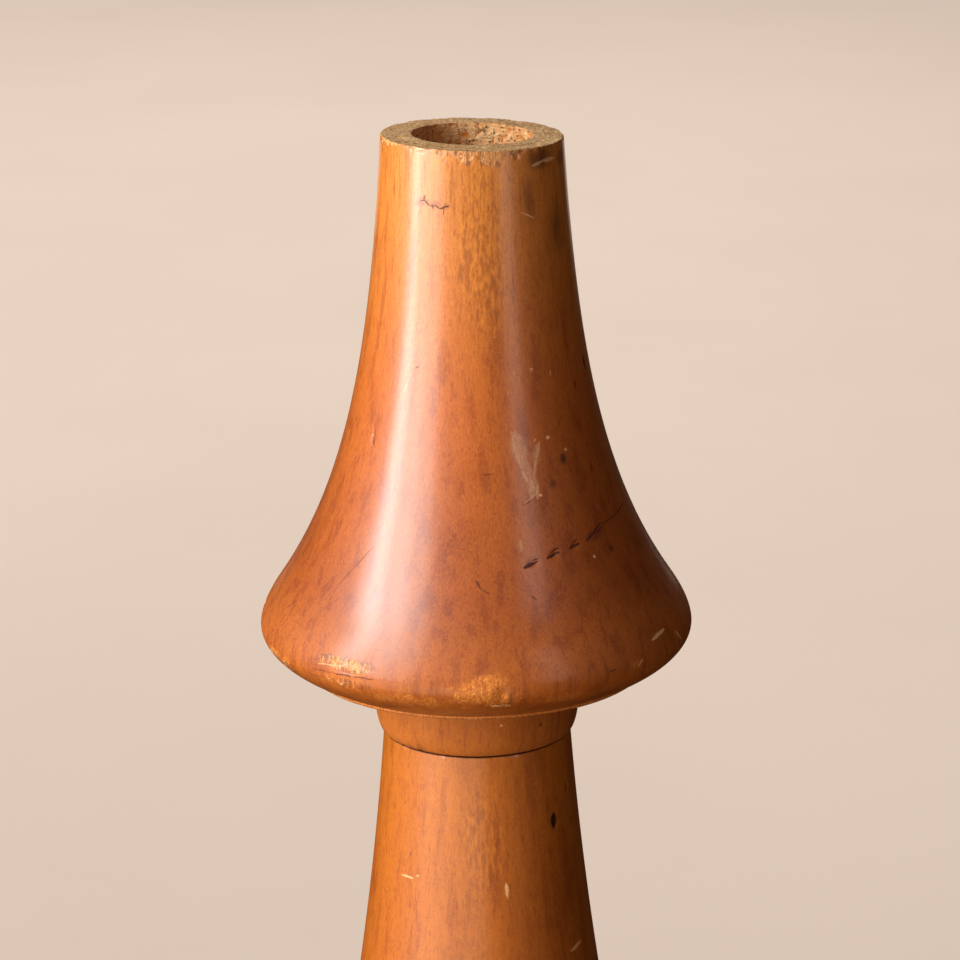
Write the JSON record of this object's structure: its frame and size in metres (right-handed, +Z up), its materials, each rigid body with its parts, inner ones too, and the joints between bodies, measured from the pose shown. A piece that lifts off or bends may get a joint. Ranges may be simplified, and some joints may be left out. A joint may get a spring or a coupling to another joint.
{
  "type": "roof finial",
  "caption": "Turned wooden roof finial: a flared bell with a rounded rim, sawn off and bored at the top, over a collar and a slender flared body.",
  "frame": {"origin": "middle of the underside, on the turning axis", "axes": "+Z up along the turning axis, +X to the right as seen from the front, +Y to the back"},
  "size_m": [0.14, 0.14, 0.4211],
  "materials": {
    "bell_wood": "aged red-brown varnish, satin, worn at the edges",
    "body_wood": "aged amber-brown varnish, satin"
  },
  "bodies": {
    "root": {"bell": "bell_wood", "lower_body": "body_wood"}
  },
  "joints": []
}
